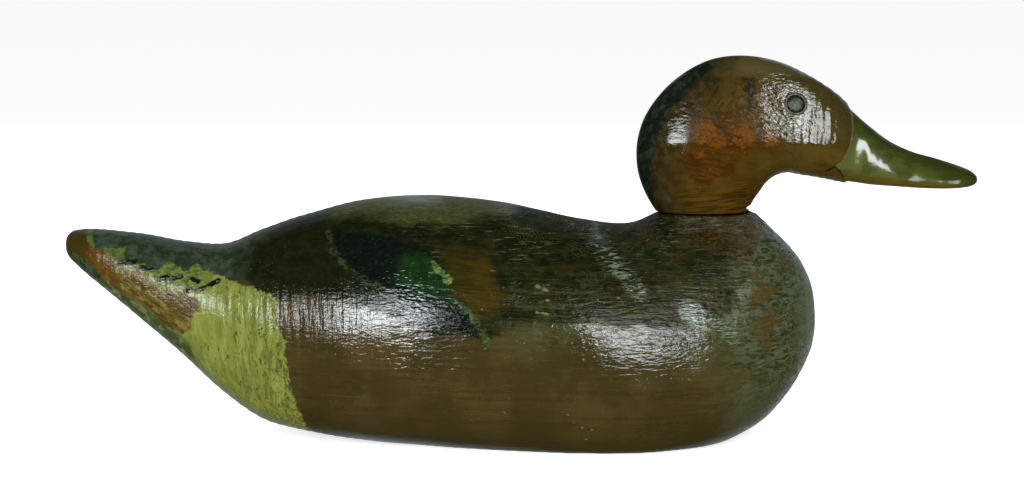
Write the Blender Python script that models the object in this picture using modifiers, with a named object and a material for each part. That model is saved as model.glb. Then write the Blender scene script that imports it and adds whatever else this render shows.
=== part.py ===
"""A hollow wooden duck decoy, 360 mm long, as the separate pieces it comes apart into.

The frame: +X runs from tail to bill, +Y to the bird's left, +Z up. The origin is on the flat
bottom, under the middle of the overall length. Sizes below are in millimetres, and every
object is built in metres.
"""

import math
from collections import namedtuple

import bmesh
import bpy
from mathutils import Matrix, Vector

MM = 0.001
GAP = 0.3  # clearance between two pieces that touch

# Driving dimensions
SEAT_Z = 88.8  # the flat seam between neck and body
NECK_X = 71.7  # the upright axis of the neck dowel
BOARD_THICKNESS = 10.0
BOARD_CENTRE_X = 7.0
BOARD_HALF_LENGTH = 71.0
BOARD_HALF_WIDTH = 31.0
SEAL_THICKNESS = 0.6
HOLLOW_CENTRE = (-16.0, 0.0, 47.0)
HOLLOW_RADII = (66.0, 38.0, 32.0)
MOUTH_CENTRE_X = -11.0  # the opening from the hollow down to the bottom board
MOUTH_HALF_LENGTH = 41.0
MOUTH_HALF_WIDTH = 20.0
NAIL_COUNT = 10
NAIL_INSET = 4.5  # from the board's edge to the line of nails
NAIL_LENGTH = 20.0
TACK_LENGTH = 8.8
SHANK_RADIUS = 1.1
NAIL_HEAD_RADIUS = 3.0
NAIL_HEAD_TOP = 1.3
BALLAST_LOW = (-48.0, -13.0)
BALLAST_HIGH = (22.0, 13.0)
BALLAST_THICKNESS = 4.7
BALLAST_NAILS = [(x, y) for x in (-40.0, 14.0) for y in (-7.5, 7.5)]
WIRE_RADIUS = 1.0
RING_RADIUS = 7.0  # to the middle of the line tie's wire
STAPLE_X = 50.0
STAPLE_HALF_WIDTH = 3.0
STAPLE_TOP = 24.0
DOWEL_RADIUS = 7.0
DOWEL_LOW = 52.0
DOWEL_HIGH = 122.0
SCREW_RADIUS = 2.4
SCREW_TOP = 83.0
SCREW_HEAD_RADIUS = 4.2
WASHER_RADIUS = 5.4
WASHER_THICKNESS = 1.2
WASHER_TOP = 27.0
EYE_RADIUS = 3.5
EYE_BED_RADIUS = 4.6  # of the ring of putty that the eye sits in
EYE_BED_DEPTH = 4.1
EYE_SPOT = (106.7, 132.5)  # x and z of both eyes

# Levels and places that follow from them
LEDGE_Z = BOARD_THICKNESS + SEAL_THICKNESS + 2 * GAP
BRIDGE_Z = WIRE_RADIUS + GAP  # the staple's wire, just clear of the ground
RING_AXIS_Z = BRIDGE_Z + 2 * WIRE_RADIUS + GAP
RING_TILT = math.asin((RING_AXIS_Z - BRIDGE_Z + 0.1) / (2 * RING_RADIUS))  # its end lies low
RECESS_RADIUS = 11.0
RECESS_DEPTH = RING_AXIS_Z + WIRE_RADIUS + 1.6
RECESS_X = STAPLE_X + 5.5

# One cross-section of the body: an upright slice at x, widest at the level "mid".
Slice = namedtuple("Slice", "x half_width top mid bottom upper_power lower_power")
BODY = [
    Slice(-180.0, 0.0, 74.8, 74.8, 74.8, 2.2, 2.2),
    Slice(-179.3, 5.0, 78.4, 74.8, 71.2, 2.2, 2.2),
    Slice(-176.0, 10.0, 80.2, 74.2, 67.6, 2.2, 2.2),
    Slice(-168.0, 16.0, 80.6, 71.0, 60.4, 2.2, 2.2),
    Slice(-152.0, 21.5, 79.1, 63.5, 47.2, 2.2, 2.2),
    Slice(-134.0, 26.0, 76.1, 54.5, 31.5, 2.2, 2.2),
    Slice(-118.0, 31.0, 75.5, 47.0, 16.8, 2.2, 2.3),
    Slice(-103.0, 37.5, 81.0, 43.0, 7.6, 2.1, 2.4),
    Slice(-86.0, 44.0, 87.2, 41.0, 2.2, 2.0, 2.5),
    Slice(-64.0, 51.0, 92.8, 41.0, -1.0, 2.0, 2.6),
    Slice(-38.0, 57.0, 94.7, 42.0, -3.0, 2.0, 2.8),
    Slice(-8.0, 61.0, 91.9, 42.0, -4.6, 2.0, 3.2),
    Slice(22.0, 62.5, 85.0, 41.0, -5.0, 2.0, 3.7),
    Slice(42.0, 61.0, 82.9, 41.0, -5.0, 1.9, 3.8),
    Slice(56.0, 58.0, 89.0, 41.0, -4.2, 1.75, 3.6),
    Slice(71.7, 53.0, 91.4, 41.0, -2.6, 1.75, 3.2),
    Slice(85.0, 46.0, 90.0, 41.0, 1.0, 1.85, 2.8),
    Slice(96.0, 37.6, 83.8, 41.5, 6.8, 1.95, 2.5),
    Slice(105.0, 28.5, 75.7, 42.5, 16.4, 2.0, 2.3),
    Slice(111.0, 19.5, 67.9, 43.5, 25.6, 2.0, 2.2),
    Slice(114.8, 11.0, 59.2, 44.4, 34.0, 2.0, 2.0),
    Slice(116.1, 4.6, 50.6, 44.8, 40.2, 2.0, 2.0),
    Slice(116.4, 0.0, 44.9, 44.9, 44.9, 2.0, 2.0),
]

# One cross-section of the head: a plane through the line (hub_x, SEAT_Z) across the bird.
# "turn" is the plane's angle in degrees: 180 lies flat along the seam, 90 stands upright.
# near and far are where the plane meets the throat side and the crown side, from that line.
Cut = namedtuple("Cut", "turn hub_x near far half_width widest far_power near_power")
HUB_X = 108.0
HEAD = [
    Cut(180, HUB_X, 18.3, 54.9, 14.2, 0.50, 2.1, 2.1),
    Cut(165, HUB_X, 17.0, 64.6, 15.0, 0.50, 2.1, 2.1),
    Cut(150, HUB_X, 16.1, 69.9, 16.8, 0.48, 2.1, 2.1),
    Cut(135, HUB_X, 16.2, 70.5, 18.4, 0.46, 2.1, 2.1),
    Cut(120, HUB_X, 16.1, 68.7, 19.2, 0.44, 2.1, 2.1),
    Cut(105, HUB_X, 15.7, 63.3, 18.9, 0.44, 2.1, 2.1),
    Cut(90, HUB_X, 14.9, 56.2, 17.8, 0.44, 2.1, 2.2),
    Cut(90, 116.0, 13.8, 51.9, 15.9, 0.42, 2.1, 2.3),
    Cut(90, 123.5, 12.4, 46.4, 13.5, 0.38, 2.0, 2.4),
    Cut(90, 130.0, 11.4, 40.3, 11.2, 0.33, 1.9, 2.6),
    Cut(90, 137.0, 10.7, 33.8, 9.6, 0.30, 1.9, 2.8),
    Cut(90, 145.0, 10.1, 27.8, 9.0, 0.30, 1.9, 2.8),
    Cut(90, 154.0, 9.4, 23.5, 9.3, 0.32, 2.0, 2.6),
    Cut(90, 163.5, 9.0, 20.8, 9.9, 0.36, 2.2, 2.4),
    Cut(90, 171.5, 9.1, 18.3, 9.3, 0.40, 2.2, 2.2),
    Cut(90, 176.8, 9.7, 16.2, 7.0, 0.45, 2.1, 2.1),
    Cut(90, 179.4, 10.9, 14.2, 3.6, 0.50, 2.0, 2.0),
    Cut(90, 180.0, 12.6, 12.6, 0.0, 0.50, 2.0, 2.0),
]

BODY_PER_SPAN = 2
BODY_AROUND = 36
HEAD_PER_SPAN = 2
HEAD_AROUND = 24
FINE_PER_SPAN = 16  # for finding a point on the head's own surface
FINE_AROUND = 96


# Materials

def material(name, colour, roughness, metallic=0.0):
    made = bpy.data.materials.new(name)
    made.use_nodes = True
    shader = made.node_tree.nodes["Principled BSDF"]
    shader.inputs["Base Color"].default_value = (*colour, 1.0)
    shader.inputs["Roughness"].default_value = roughness
    shader.inputs["Metallic"].default_value = metallic
    return made


# Objects and collections

def clear_scene():
    for obj in list(bpy.data.objects):
        bpy.data.objects.remove(obj)


def new_collection(name):
    made = bpy.data.collections.new(name)
    bpy.context.scene.collection.children.link(made)
    return made


def place(obj, collection, surface=None):
    """Moves obj into the collection alone and gives it its material."""
    for old in list(obj.users_collection):
        old.objects.unlink(obj)
    collection.objects.link(obj)
    if surface:
        obj.data.materials.clear()
        obj.data.materials.append(surface)
    return obj


def as_cutter(obj, cutters):
    obj.hide_render = True
    obj.display_type = "WIRE"
    return place(obj, cutters)


def from_bmesh(name, shape):
    mesh = bpy.data.meshes.new(name)
    bmesh.ops.recalc_face_normals(shape, faces=shape.faces)
    shape.to_mesh(mesh)
    shape.free()
    return bpy.data.objects.new(name, mesh)


def smooth(obj, sharp_angle=40):
    obj.data.shade_smooth()
    obj.data.set_sharp_from_angle(angle=math.radians(sharp_angle))
    return obj


def combine(target, other, operation):
    modifier = target.modifiers.new(f"{operation}_{other.name}", "BOOLEAN")
    modifier.operation = operation
    modifier.object = other


def cut(target, cutter):
    combine(target, cutter, "DIFFERENCE")


def unite(target, other):
    combine(target, other, "UNION")


# Shapes

def spline_rows(rows, per_span):
    """The rows and per_span - 1 more between each pair, on a Catmull-Rom curve through them."""
    kind = type(rows[0])
    out = []
    for i in range(len(rows) - 1):
        before = rows[max(i - 1, 0)]
        after = rows[min(i + 2, len(rows) - 1)]
        for step in range(per_span):
            t = step / per_span
            out.append(kind(*(
                0.5 * (2 * b + (c - a) * t + (2 * a - 5 * b + 4 * c - d) * t * t
                       + (3 * b - a - 3 * c + d) * t ** 3)
                for a, b, c, d in zip(before, rows[i], rows[i + 1], after)
            )))
    out.append(rows[-1])
    return out


def superellipse(angle, half_width, rise, fall, rise_power, fall_power):
    """(across, up) on an oval whose upper and lower halves have their own height and fullness."""
    c, s = math.cos(angle), math.sin(angle)
    power = rise_power if s >= 0 else fall_power
    across = half_width * math.copysign(abs(c) ** (2 / power), c)
    up = (rise if s >= 0 else fall) * math.copysign(abs(s) ** (2 / power), s)
    return across, up


def body_ring(row, count):
    ring = []
    for i in range(count):
        y, z = superellipse(2 * math.pi * i / count, row.half_width, row.top - row.mid,
                            row.mid - row.bottom, row.upper_power, row.lower_power)
        ring.append(Vector((row.x, y, row.mid + z)))
    return ring


def head_point(row, angle):
    length = row.far - row.near
    mid = row.near + row.widest * length
    y, r = superellipse(angle, row.half_width, row.far - mid, mid - row.near,
                        row.far_power, row.near_power)
    turn = math.radians(row.turn)
    reach = mid + r
    return Vector((row.hub_x + reach * math.cos(turn), y, SEAT_Z + reach * math.sin(turn)))


def head_ring(row, count):
    return [head_point(row, 2 * math.pi * i / count) for i in range(count)]


def loft(name, rings):
    """A closed skin over the rings. An end ring that has shrunk to a point becomes one vertex."""
    shape = bmesh.new()
    made = []
    for ring in rings:
        spread = max((p - ring[0]).length for p in ring)
        points = ring[:1] if spread < 1e-6 else ring
        made.append([shape.verts.new(p * MM) for p in points])
    for lower, upper in zip(made, made[1:]):
        count = max(len(lower), len(upper))
        for i in range(count):
            j = (i + 1) % count
            corners = [lower[i % len(lower)], lower[j % len(lower)],
                       upper[j % len(upper)], upper[i % len(upper)]]
            shape.faces.new(list(dict.fromkeys(corners)))
    for end in (made[0], made[-1]):
        if len(end) > 1:
            shape.faces.new(end)
    return from_bmesh(name, shape)


def cylinder(name, radius, low, high, at=(0, 0), segments=32):
    """An upright cylinder from level low to level high."""
    shape = bmesh.new()
    bmesh.ops.create_cone(shape, cap_ends=True, segments=segments, radius1=radius * MM,
                          radius2=radius * MM, depth=(high - low) * MM)
    bmesh.ops.translate(shape, verts=shape.verts,
                        vec=Vector((at[0], at[1], (low + high) / 2)) * MM)
    return from_bmesh(name, shape)


def oval_plate(name, half_length, half_width, low, high, centre_x, segments=48):
    """An upright cylinder of oval plan."""
    obj = cylinder(name, 1.0, low, high, segments=segments)
    stretch = Matrix.Diagonal((half_length, half_width, 1.0, 1.0))
    obj.data.transform(Matrix.Translation((centre_x * MM, 0, 0)) @ stretch)
    return obj


def ball(name, centre, radii):
    """An ellipsoid."""
    shape = bmesh.new()
    bmesh.ops.create_uvsphere(shape, u_segments=28, v_segments=16, radius=1.0)
    bmesh.ops.scale(shape, verts=shape.verts, vec=Vector(radii) * MM)
    bmesh.ops.translate(shape, verts=shape.verts, vec=Vector(centre) * MM)
    return from_bmesh(name, shape)


def box(name, low, high):
    shape = bmesh.new()
    bmesh.ops.create_cube(shape, size=1.0)
    low, high = Vector(low) * MM, Vector(high) * MM
    size = high - low
    bmesh.ops.scale(shape, verts=shape.verts, vec=size)
    bmesh.ops.translate(shape, verts=shape.verts, vec=(low + high) / 2)
    return from_bmesh(name, shape)


def turned(name, profile, segments=12):
    """A round piece about its own Z. The profile is (radius, level) from top to bottom."""
    mesh = bpy.data.meshes.new(name)
    points = [(r * MM, 0, z * MM) for r, z in profile]
    mesh.from_pydata(points, [(i, i + 1) for i in range(len(points) - 1)], [])
    obj = bpy.data.objects.new(name, mesh)
    screw = obj.modifiers.new("turn", "SCREW")
    screw.axis = "Z"
    screw.steps = screw.render_steps = segments
    screw.use_merge_vertices = True
    screw.merge_threshold = 0.00001
    screw.use_smooth_shade = False
    return obj


def wire(name, points, radius):
    """A round wire through the points, with closed ends."""
    curve = bpy.data.curves.new(name, "CURVE")
    curve.dimensions = "3D"
    curve.bevel_depth = radius * MM
    curve.bevel_resolution = 2
    curve.use_fill_caps = True
    spline = curve.splines.new("POLY")
    spline.points.add(len(points) - 1)
    for target, point in zip(spline.points, points):
        target.co = (*(Vector(point) * MM), 1.0)
    return bpy.data.objects.new(name, curve)


def holes(name, spots, radius, low, high, segments=10):
    """One cutter that holds an upright round hole at each (x, y)."""
    shape = bmesh.new()
    for x, y in spots:
        where = Matrix.Translation(Vector((x, y, (low + high) / 2)) * MM)
        bmesh.ops.create_cone(shape, cap_ends=True, segments=segments, radius1=radius * MM,
                              radius2=radius * MM, depth=(high - low) * MM, matrix=where)
    return from_bmesh(name, shape)


# Where the repeated and tilted pieces go

def nail_spots():
    """The bottom board's nails, evenly spaced along an oval inside its edge."""
    spots = []
    for i in range(NAIL_COUNT):
        t = 2 * math.pi * (i + 0.5) / NAIL_COUNT
        spots.append((BOARD_CENTRE_X + (BOARD_HALF_LENGTH - NAIL_INSET) * math.cos(t),
                      (BOARD_HALF_WIDTH - NAIL_INSET) * math.sin(t)))
    return spots


def eye_frame(side):
    """A matrix that stands local Z out of the head at the eye, with its origin on the surface."""
    surface = [head_ring(row, FINE_AROUND) for row in spline_rows(HEAD, FINE_PER_SPAN)]
    spots = [(i, j) for i in range(1, len(surface) - 1) for j in range(FINE_AROUND)
             if surface[i][j].y * side > 0]
    i, j = min(spots, key=lambda spot: math.dist(surface[spot[0]][spot[1]].xz, EYE_SPOT))
    along = surface[i + 1][j] - surface[i - 1][j]
    around = surface[i][(j + 1) % FINE_AROUND] - surface[i][j - 1]
    out = along.cross(around).normalized()
    if out.y * side < 0:
        out.negate()
    turn = out.to_track_quat("Z", "Y").to_matrix().to_4x4()
    return Matrix.Translation(surface[i][j] * MM) @ turn


def follow(piece, parent):
    """Parents a piece without moving it."""
    piece.parent = parent
    piece.matrix_parent_inverse = Matrix.Translation(-parent.location)


# Pieces

def build_body(parts, cutters, wood):
    rings = [body_ring(row, BODY_AROUND) for row in spline_rows(BODY, BODY_PER_SPAN)]
    shell = smooth(place(loft("body_shell", rings), parts, wood))
    seat = SEAT_Z - GAP / 2
    hollow = ball("hollow", HOLLOW_CENTRE, HOLLOW_RADII)
    mouth = oval_plate("hollow_mouth", MOUTH_HALF_LENGTH, MOUTH_HALF_WIDTH, LEDGE_Z - 4, 40,
                       MOUTH_CENTRE_X)
    unite(mouth, as_cutter(hollow, cutters))
    neck = (NECK_X, 0)
    for cutter in (
        box("below_ground", (-200, -90, -20), (140, 90, 0)),
        box("above_seat", (46, -30, seat), (96, 30, seat + 20)),
        oval_plate("board_rebate", BOARD_HALF_LENGTH + GAP, BOARD_HALF_WIDTH + GAP, -10,
                   LEDGE_Z, BOARD_CENTRE_X),
        mouth,
        cylinder("dowel_bore", DOWEL_RADIUS + GAP, DOWEL_LOW - GAP, 120, neck),
        cylinder("screw_counterbore", WASHER_RADIUS + 2 * GAP, 4, WASHER_TOP + GAP, neck),
        cylinder("screw_way", SCREW_RADIUS + GAP, 20, 60, neck, 20),
    ):
        cut(shell, as_cutter(cutter, cutters))
    return shell


def build_bottom(parts, cutters, wood, canvas, lead):
    board = place(oval_plate("bottom_board", BOARD_HALF_LENGTH, BOARD_HALF_WIDTH, 0,
                             BOARD_THICKNESS, BOARD_CENTRE_X), parts, wood)
    (rear, right), (front, left) = BALLAST_LOW, BALLAST_HIGH
    roof = BALLAST_THICKNESS + 2 * GAP
    cut(board, as_cutter(box("ballast_pocket", (rear - GAP, right - GAP, -5),
                             (front + GAP, left + GAP, roof)), cutters))
    cut(board, as_cutter(cylinder("tie_recess", RECESS_RADIUS, -5, RECESS_DEPTH,
                                  (RECESS_X, 0)), cutters))
    seal_low = BOARD_THICKNESS + GAP
    seal = place(oval_plate("bottom_seal", BOARD_HALF_LENGTH - 1, BOARD_HALF_WIDTH - 1, seal_low,
                            seal_low + SEAL_THICKNESS, BOARD_CENTRE_X), parts, canvas)
    window = oval_plate("seal_window", MOUTH_HALF_LENGTH + 1, MOUTH_HALF_WIDTH + 1, 5, 16,
                        MOUTH_CENTRE_X)
    cut(seal, as_cutter(window, cutters))
    ballast = place(box("ballast_weight", (rear, right, GAP),
                        (front, left, GAP + BALLAST_THICKNESS)), parts, lead)
    return board, seal, ballast


def drive_nails(parts, cutters, kind, spots, length, through, countersunk, iron):
    """Nails up from the ground, a hole for each in every piece of through, and sunk heads."""
    shanks = as_cutter(holes(f"{kind}_holes", spots, SHANK_RADIUS + GAP, -5, length + GAP),
                       cutters)
    sinks = as_cutter(holes(f"{kind}_sinks", spots, NAIL_HEAD_RADIUS + GAP, -5,
                            NAIL_HEAD_TOP + GAP), cutters)
    for target in through:
        cut(target, shanks)
    cut(countersunk, sinks)
    for number, (x, y) in enumerate(spots, 1):
        nail = turned(f"{kind}_{number:02d}", [
            (0, length), (SHANK_RADIUS * 0.4, length - 1.0), (SHANK_RADIUS, length - 3.5),
            (SHANK_RADIUS, NAIL_HEAD_TOP + 0.3), (NAIL_HEAD_RADIUS, NAIL_HEAD_TOP),
            (NAIL_HEAD_RADIUS, 0.9), (NAIL_HEAD_RADIUS - 0.8, GAP), (0, GAP)])
        nail.location = Vector((x, y, 0)) * MM
        place(nail, parts, iron)


def build_line_tie(parts, cutters, through, iron):
    rear, front = STAPLE_X - STAPLE_HALF_WIDTH, STAPLE_X + STAPLE_HALF_WIDTH
    legs = as_cutter(holes("staple_holes", [(rear, 0), (front, 0)], WIRE_RADIUS + GAP, 2,
                           STAPLE_TOP + GAP), cutters)
    for target in through:
        cut(target, legs)
    bend = 1.6 * WIRE_RADIUS
    points = [(rear, 0, STAPLE_TOP), (rear, 0, BRIDGE_Z + bend)]
    for x, start in ((rear + bend, 180), (front - bend, 270)):
        for step in range(1, 5):
            a = math.radians(start + 90 * step / 5)
            points.append((x + bend * math.cos(a), 0, BRIDGE_Z + bend + bend * math.sin(a)))
    points += [(front, 0, BRIDGE_Z + bend), (front, 0, STAPLE_TOP)]
    place(wire("line_tie_staple", points, WIRE_RADIUS), parts, iron)

    hinge = place(bpy.data.objects.new("ring_hinge", None), parts)
    hinge.location = Vector((STAPLE_X, 0, RING_AXIS_Z)) * MM
    bpy.ops.mesh.primitive_torus_add(major_radius=RING_RADIUS * MM, minor_radius=WIRE_RADIUS * MM,
                                     major_segments=28, minor_segments=8)
    ring = bpy.context.object
    ring.name = "line_tie_ring"
    ring.data.transform(Matrix.Rotation(RING_TILT, 4, "Y")
                        @ Matrix.Translation((RING_RADIUS * MM, 0, 0)))
    smooth(place(ring, parts, iron)).parent = hinge


def build_head(parts, cutters, swivel, wood):
    rings = [head_ring(row, HEAD_AROUND) for row in spline_rows(HEAD, HEAD_PER_SPAN)]
    rings[0] = [point + Vector((0, 0, GAP / 2)) for point in rings[0]]
    head = smooth(place(loft("head", rings), parts, wood))
    bore = cylinder("head_dowel_bore", DOWEL_RADIUS + GAP, SEAT_Z - 10, DOWEL_HIGH + GAP,
                    (NECK_X, 0))
    cut(head, as_cutter(bore, cutters))
    follow(head, swivel)
    return head


def build_neck_fixing(parts, cutters, swivel, hardwood, iron):
    neck = (NECK_X, 0)
    dowel = cylinder("neck_dowel", DOWEL_RADIUS, DOWEL_LOW, DOWEL_HIGH, neck)
    pilot = cylinder("dowel_pilot", SCREW_RADIUS + GAP, DOWEL_LOW - 10, SCREW_TOP + 1, neck, 20)
    washer = cylinder("neck_washer", WASHER_RADIUS, WASHER_TOP - WASHER_THICKNESS, WASHER_TOP,
                      neck)
    washer_hole = cylinder("washer_hole", SCREW_RADIUS + GAP, WASHER_TOP - 10, WASHER_TOP + 10,
                           neck, 20)
    head_z = WASHER_TOP - WASHER_THICKNESS - GAP
    screw = turned("neck_screw", [
        (0, SCREW_TOP), (0.5, SCREW_TOP - 1), (SCREW_RADIUS, SCREW_TOP - 7),
        (SCREW_RADIUS, head_z), (SCREW_HEAD_RADIUS, head_z), (SCREW_HEAD_RADIUS, head_z - 1.4),
        (SCREW_HEAD_RADIUS - 1.2, head_z - 3.0), (0, head_z - 3.0)], 20)
    screw.location.x = NECK_X * MM
    slot = box("screw_slot", (NECK_X - 6, -0.6, head_z - 5), (NECK_X + 6, 0.6, head_z - 1.8))
    for piece, cutter, surface in ((dowel, pilot, hardwood), (washer, washer_hole, iron),
                                   (screw, slot, iron)):
        cut(piece, as_cutter(cutter, cutters))
        follow(place(piece, parts, surface), swivel)


def build_eye(parts, cutters, swivel, head, name, side, glass, putty, iron):
    frame = eye_frame(side)
    ring = EYE_RADIUS + GAP
    bed = EYE_BED_RADIUS
    sides = 20
    socket = turned(f"eye_socket_{name}", [
        (0, 4), (bed + GAP, 4), (bed + GAP, -EYE_BED_DEPTH - GAP), (0, -EYE_BED_DEPTH - GAP)],
        sides)
    stem = turned(f"eye_stem_hole_{name}", [(0, 0), (1.0, 0), (1.0, -11), (0, -11)])
    for cutter in (socket, stem):
        cutter.matrix_world = frame
        cut(head, as_cutter(cutter, cutters))
    putty_bed = turned(f"eye_putty_{name}", [
        (ring, 0.35), (bed, 0), (bed, -EYE_BED_DEPTH), (1.0, -EYE_BED_DEPTH), (1.0, -2.6),
        (ring, -2.6), (ring, 0.35)], sides)
    eye = turned(f"eye_{name}", [
        (0, 0.9), (1.3, 0.75), (2.4, 0.35), (3.2, -0.3), (EYE_RADIUS, -0.9),
        (EYE_RADIUS, -1.7), (2.8, -2.2), (0, -2.2)], sides)
    stem_wire = wire(f"eye_wire_{name}", [(0, 0, -2.5), (0, 0, -10.2)], 0.5)
    for piece, surface in ((putty_bed, putty), (eye, glass), (stem_wire, iron)):
        piece.matrix_world = frame
        follow(place(piece, parts, surface), swivel)


def main():
    clear_scene()
    parts = new_collection("duck_decoy")
    cutters = new_collection("cutters")
    painted = material("painted_body", (0.10, 0.07, 0.035), 0.35)
    chestnut = material("painted_head", (0.16, 0.075, 0.03), 0.3)
    pine = material("bare_pine", (0.36, 0.24, 0.13), 0.7)
    hardwood = material("hardwood", (0.45, 0.30, 0.17), 0.6)
    canvas = material("tarred_canvas", (0.05, 0.045, 0.04), 0.9)
    iron = material("rusty_iron", (0.16, 0.10, 0.07), 0.6, 0.8)
    lead = material("lead", (0.28, 0.29, 0.31), 0.55, 0.9)
    glass = material("eye_glass", (0.10, 0.09, 0.05), 0.15)
    putty = material("putty", (0.30, 0.27, 0.20), 0.8)

    shell = build_body(parts, cutters, painted)
    board, seal, ballast = build_bottom(parts, cutters, pine, canvas, lead)
    drive_nails(parts, cutters, "bottom_nail", nail_spots(), NAIL_LENGTH, (shell, board, seal),
                board, iron)
    drive_nails(parts, cutters, "ballast_nail", BALLAST_NAILS, TACK_LENGTH, (board, ballast),
                ballast, iron)
    build_line_tie(parts, cutters, (shell, board, seal), iron)

    swivel = place(bpy.data.objects.new("head_swivel", None), parts)
    swivel.location = Vector((NECK_X, 0, SEAT_Z)) * MM
    head = build_head(parts, cutters, swivel, chestnut)
    build_neck_fixing(parts, cutters, swivel, hardwood, iron)
    for name, side in (("left", 1), ("right", -1)):
        build_eye(parts, cutters, swivel, head, name, side, glass, putty, iron)


main()
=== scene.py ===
"""The looks of a worn, varnished, hollow wooden duck decoy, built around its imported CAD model.

Shapes are worked out in millimetres in the model's own frame: +X towards the bill, +Y to the
bird's left, +Z up, with the ground at z = 0.
"""

import math
from collections import namedtuple
from functools import partial, reduce

import bmesh
import bpy
import numpy as np
from mathutils import Matrix, Vector, noise


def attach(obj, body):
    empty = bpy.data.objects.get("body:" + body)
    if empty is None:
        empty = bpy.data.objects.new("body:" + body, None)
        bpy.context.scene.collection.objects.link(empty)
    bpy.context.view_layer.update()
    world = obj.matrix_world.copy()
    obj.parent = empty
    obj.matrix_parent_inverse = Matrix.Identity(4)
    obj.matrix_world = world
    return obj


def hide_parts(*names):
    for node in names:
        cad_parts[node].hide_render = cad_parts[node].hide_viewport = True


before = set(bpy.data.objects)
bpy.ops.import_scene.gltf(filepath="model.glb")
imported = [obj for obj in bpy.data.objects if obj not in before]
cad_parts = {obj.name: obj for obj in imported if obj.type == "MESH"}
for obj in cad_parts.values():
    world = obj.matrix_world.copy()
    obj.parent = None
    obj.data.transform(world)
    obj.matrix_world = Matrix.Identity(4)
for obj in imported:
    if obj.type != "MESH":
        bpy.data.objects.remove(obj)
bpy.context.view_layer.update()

MM = 0.001
GAP = 0.3
SEAT_Z = 88.8
NECK_X = 71.7
SHARP_ANGLE = math.radians(35)

Slice = namedtuple("Slice", "x half_width top mid bottom upper_power lower_power")
BODY = [Slice(*row) for row in (
    (-180.7, 0, 75.4, 75.4, 75.4, 2.2, 2.2),
    (-180, 5, 79, 75.2, 71.6, 2.2, 2.2),
    (-176.6, 10, 81, 74.4, 67.9, 2.2, 2.2),
    (-168, 16, 81.3, 71, 60.4, 2.2, 2.2),
    (-152, 21.5, 79.7, 63.5, 47.2, 2.2, 2.2),
    (-134, 26, 76.5, 54.5, 31.5, 2.2, 2.2),
    (-118, 31, 75.5, 47, 16.8, 2.2, 2.3),
    (-103, 37.5, 81.3, 43, 6.8, 2.1, 2.4),
    (-86, 44, 87.2, 41, 2.2, 2, 2.5),
    (-64, 51, 92.8, 41, -1, 2, 2.6),
    (-38, 57, 94.7, 42, -3, 2, 2.8),
    (-8, 61, 91.9, 42, -4.6, 2, 3.2),
    (22, 62.5, 85.5, 39, -5, 2, 3.7),
    (42, 61, 83.6, 36.5, -5, 1.9, 3.8),
    (56, 58, 89, 36, -4.2, 1.75, 3.6),
    (71.7, 53, 91.4, 36.5, -2.6, 1.75, 3.2),
    (85, 46, 90, 38.5, 1, 1.85, 2.8),
    (96, 37.6, 83.8, 41.5, 6.8, 1.95, 2.5),
    (105, 28.5, 75.7, 42.5, 16.4, 2, 2.3),
    (111, 19.5, 67.9, 43.5, 25.6, 2, 2.2),
    (114.8, 11, 59.2, 44.4, 34, 2, 2),
    (116.1, 4.6, 50.6, 44.8, 40.2, 2, 2),
    (116.4, 0, 44.9, 44.9, 44.9, 2, 2),
)]
Cut = namedtuple("Cut", "turn hub_x near far half_width widest far_power near_power")
HUB_X = 108.0
HEAD = [Cut(*row) for row in (
    (180, HUB_X, 18.3, 54.9, 14.2, 0.50, 2.1, 2.1),
    (165, HUB_X, 17, 64.6, 15, 0.50, 2.1, 2.1),
    (150, HUB_X, 16.1, 69.9, 16.8, 0.48, 2.1, 2.1),
    (135, HUB_X, 16.2, 70.5, 18.4, 0.46, 2.2, 2.1),
    (120, HUB_X, 16.1, 68.7, 19.2, 0.44, 2.5, 2.1),
    (105, HUB_X, 15.7, 63.3, 19.2, 0.40, 3, 2.1),
    (90, HUB_X, 14.9, 56.2, 18.8, 0.38, 3.2, 2.2),
    (90, 116, 13.8, 51.9, 18.1, 0.38, 3.2, 2.3),
    (90, 123.5, 12.4, 46.4, 16.5, 0.38, 3, 2.4),
    (90, 130, 11.4, 40.3, 11.2, 0.32, 2.7, 2.6),
    (90, 137, 10.7, 33.8, 10.9, 0.27, 2.3, 2.8),
    (90, 145, 10.1, 27.8, 10.1, 0.24, 2, 2.8),
    (90, 154, 9.4, 23.5, 8.5, 0.22, 1.35, 2.6),
    (90, 163.5, 9, 20.8, 9.3, 0.22, 1.4, 2.4),
    (90, 171.5, 9.1, 18.3, 9.5, 0.26, 1.7, 2.2),
    (90, 176.8, 9.7, 16.2, 7, 0.45, 2.1, 2.1),
    (90, 179.4, 10.9, 14.2, 3.6, 0.50, 2, 2),
    (90, 180, 12.6, 12.6, 0, 0.50, 2, 2),
)]

# Where the paint is, seen from the side: outlines and strokes as (x, z).
BARE_TAIL = [
    (-190, 86), (-172, 86), (-171.6, 80), (-169.5, 77.5), (-168, 75.4), (-163, 75), (-159.3, 70.1),
    (-157.3, 68), (-153.7, 67.4), (-149.3, 67.2), (-146, 65.4), (-144, 62.8), (-139, 61.7),
    (-134.5, 60.6), (-131.7, 58.6), (-125.8, 57.1), (-125, 53.2), (-129, 50), (-128.6, 45.6),
    (-132.5, 43), (-139.4, 46.4), (-144.4, 51), (-149.6, 54), (-154.9, 56.9), (-160, 60.7),
    (-165.6, 65.8), (-169.6, 69.6), (-174, 73), (-190, 76)]
TAIL_CHIP = [
    (-164.5, 76), (-160.2, 75.6), (-155.6, 76), (-155.4, 71.6), (-158.5, 70.2), (-161.4, 72.6)]
TIP_CHIP = [(-172.6, 83), (-170.2, 82.5), (-167.6, 76.4), (-168.6, 75.2), (-171, 78.8)]
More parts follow.
